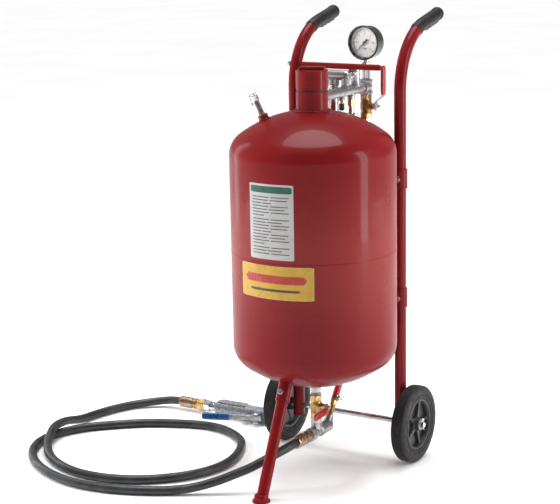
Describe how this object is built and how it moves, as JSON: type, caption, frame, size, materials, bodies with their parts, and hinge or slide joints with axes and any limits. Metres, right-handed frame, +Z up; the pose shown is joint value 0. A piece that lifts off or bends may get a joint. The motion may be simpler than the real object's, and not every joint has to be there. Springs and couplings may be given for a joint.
{
  "type": "portable abrasive blasting pot",
  "caption": "Upright welded pressure tank on a wheeled stand with bent handles, an air manifold, a mixing valve, and a blast hose with a lever gun.",
  "frame": {"origin": "on the ground at the middle of the object's footprint, without the loose hose and gun", "axes": "+Z up, +Y to the rear where the handles reach, +X across the wheels"},
  "size_m": [0.7968, 0.6483, 0.9207],
  "materials": {
    "red_paint": "gloss powder coat",
    "galvanised": "zinc plated, satin",
    "bright_steel": "bright plated",
    "brass": "machined brass",
    "bronze_crimp": "copper plated steel",
    "black_rubber": "matt moulded rubber",
    "tyre_rubber": "matt rubber tread",
    "hub_plastic": "satin moulded plastic",
    "case_plastic": "black enamel",
    "dial_white": "printed white",
    "needle_black": "matt black",
    "lens": "clear",
    "red_hose": "smooth red rubber",
    "red_vinyl": "dipped vinyl",
    "hose_rubber": "matt extruded rubber",
    "gun_cast": "grey hammered die casting",
    "blue_vinyl": "dipped vinyl",
    "ceramic": "unglazed ceramic"
  },
  "bodies": {
    "root": {"tank_upper_shell": "red_paint", "tank_lower_shell": "red_paint", "filler_neck": "red_paint", "leg_socket": "red_paint", "front_leg": "red_paint", "handle_tube_left": "red_paint", "handle_tube_right": "red_paint", "grip_left": "black_rubber", "grip_right": "black_rubber", "tank_brackets": "red_paint", "frame_bolts": "bright_steel", "hanger_bar": "red_paint", "axle": "bright_steel", "axle_washers": "galvanised", "cotter_pins": "bright_steel", "manifold_bar": "galvanised", "manifold_elbow": "galvanised", "safety_valve_body": "brass", "moisture_trap_head": "galvanised", "moisture_trap_bowl": "bright_steel", "inlet_valve_body": "brass", "air_plug": "bright_steel", "gauge_riser": "bright_steel", "gauge_case": "case_plastic", "gauge_dial": "dial_white", "gauge_lens": "lens", "air_hose": "red_hose", "hose_clamps": "bright_steel", "hose_barbs": "brass", "outlet_nipple": "galvanised", "abrasive_valve_body": "brass", "mixing_tee": "galvanised", "hose_ferrule": "bronze_crimp", "blast_hose": "hose_rubber", "relief_valve_body": "brass", "gun_hose_fitting": "brass", "gun_body_lower": "gun_cast", "gun_body_upper": "gun_cast", "gun_screws": "bright_steel", "gun_pivot_pin": "bright_steel", "gun_nozzle": "ceramic", "gun_nozzle_nut": "bright_steel"},
    "wheel_left": {"tyre_left": "tyre_rubber", "wheel_hub_left": "hub_plastic"},
    "wheel_right": {"tyre_right": "tyre_rubber", "wheel_hub_right": "hub_plastic"},
    "cap_carrier": {"filler_cap_gasket": "black_rubber"},
    "cap": {"filler_cap": "red_paint"},
    "inlet_valve": {"inlet_valve_ball": "bright_steel", "inlet_valve_lever": "galvanised", "inlet_lever_sleeve": "red_vinyl"},
    "abrasive_valve": {"abrasive_valve_ball": "bright_steel", "abrasive_valve_lever": "galvanised", "abrasive_lever_sleeve": "red_vinyl"},
    "drain_cock": {"drain_cock_knob": "hub_plastic"},
    "safety_pull": {"safety_valve_ring": "bright_steel"},
    "relief_pull": {"relief_pull_ring": "bright_steel"},
    "needle": {"gauge_needle": "needle_black"},
    "trigger": {"gun_lever": "galvanised", "gun_lever_grip": "blue_vinyl"}
  },
  "joints": [
    {"name": "wheel_left_spin", "type": "hinge", "parent": "root", "child": "wheel_left", "pos_m": [-0.152, 0.098, 0.08], "axis": [1, 0, 0], "continuous": true},
    {"name": "wheel_right_spin", "type": "hinge", "parent": "root", "child": "wheel_right", "pos_m": [0.152, 0.098, 0.08], "axis": [1, 0, 0], "continuous": true},
    {"name": "cap_lift", "type": "slide", "parent": "root", "child": "cap_carrier", "axis": [0, 0, 1], "range_m": [0, 0.0151]},
    {"name": "cap_turn", "type": "hinge", "parent": "cap_carrier", "child": "cap", "pos_m": [0, -0.0395, 0.779], "axis": [0, 0, 1], "range_deg": [0, 1800]},
    {"name": "inlet_valve_turn", "type": "hinge", "parent": "root", "child": "inlet_valve", "pos_m": [0, 0.1825, 0.72], "axis": [-1, 0, 0], "range_deg": [0, 90]},
    {"name": "abrasive_valve_turn", "type": "hinge", "parent": "root", "child": "abrasive_valve", "pos_m": [0, -0.0395, 0.134], "axis": [1, 0, 0], "range_deg": [-3, 87]},
    {"name": "drain_cock_turn", "type": "hinge", "parent": "root", "child": "drain_cock", "pos_m": [0, 0.0785, 0.743], "axis": [0, 0, -1], "range_deg": [0, 90]},
    {"name": "safety_ring_pull", "type": "slide", "parent": "root", "child": "safety_pull", "axis": [0, -1, 0], "range_m": [0, 0.004], "stiffness_N_per_m": 600, "springref_m": -0.001},
    {"name": "relief_ring_pull", "type": "slide", "parent": "root", "child": "relief_pull", "axis": [-0.3263, -0.2, 0.9239], "range_m": [0, 0.004], "stiffness_N_per_m": 600, "springref_m": -0.001},
    {"name": "gauge_needle_turn", "type": "hinge", "parent": "root", "child": "needle", "pos_m": [0, 0.1695, 0.851], "axis": [0, 1, 0], "range_deg": [0, 270], "stiffness_Nm_per_rad": 0.002},
    {"name": "gun_trigger", "type": "hinge", "parent": "root", "child": "trigger", "pos_m": [-0.256, 0.1335, 0.018], "axis": [0, 0, -1], "range_deg": [0, 12], "stiffness_Nm_per_rad": 0.8, "springref_deg": -5.73}
  ],
  "couplings": [
    {"joint": "cap_lift", "follows": "cap_turn", "m_per_rad": 0.00047746}
  ]
}
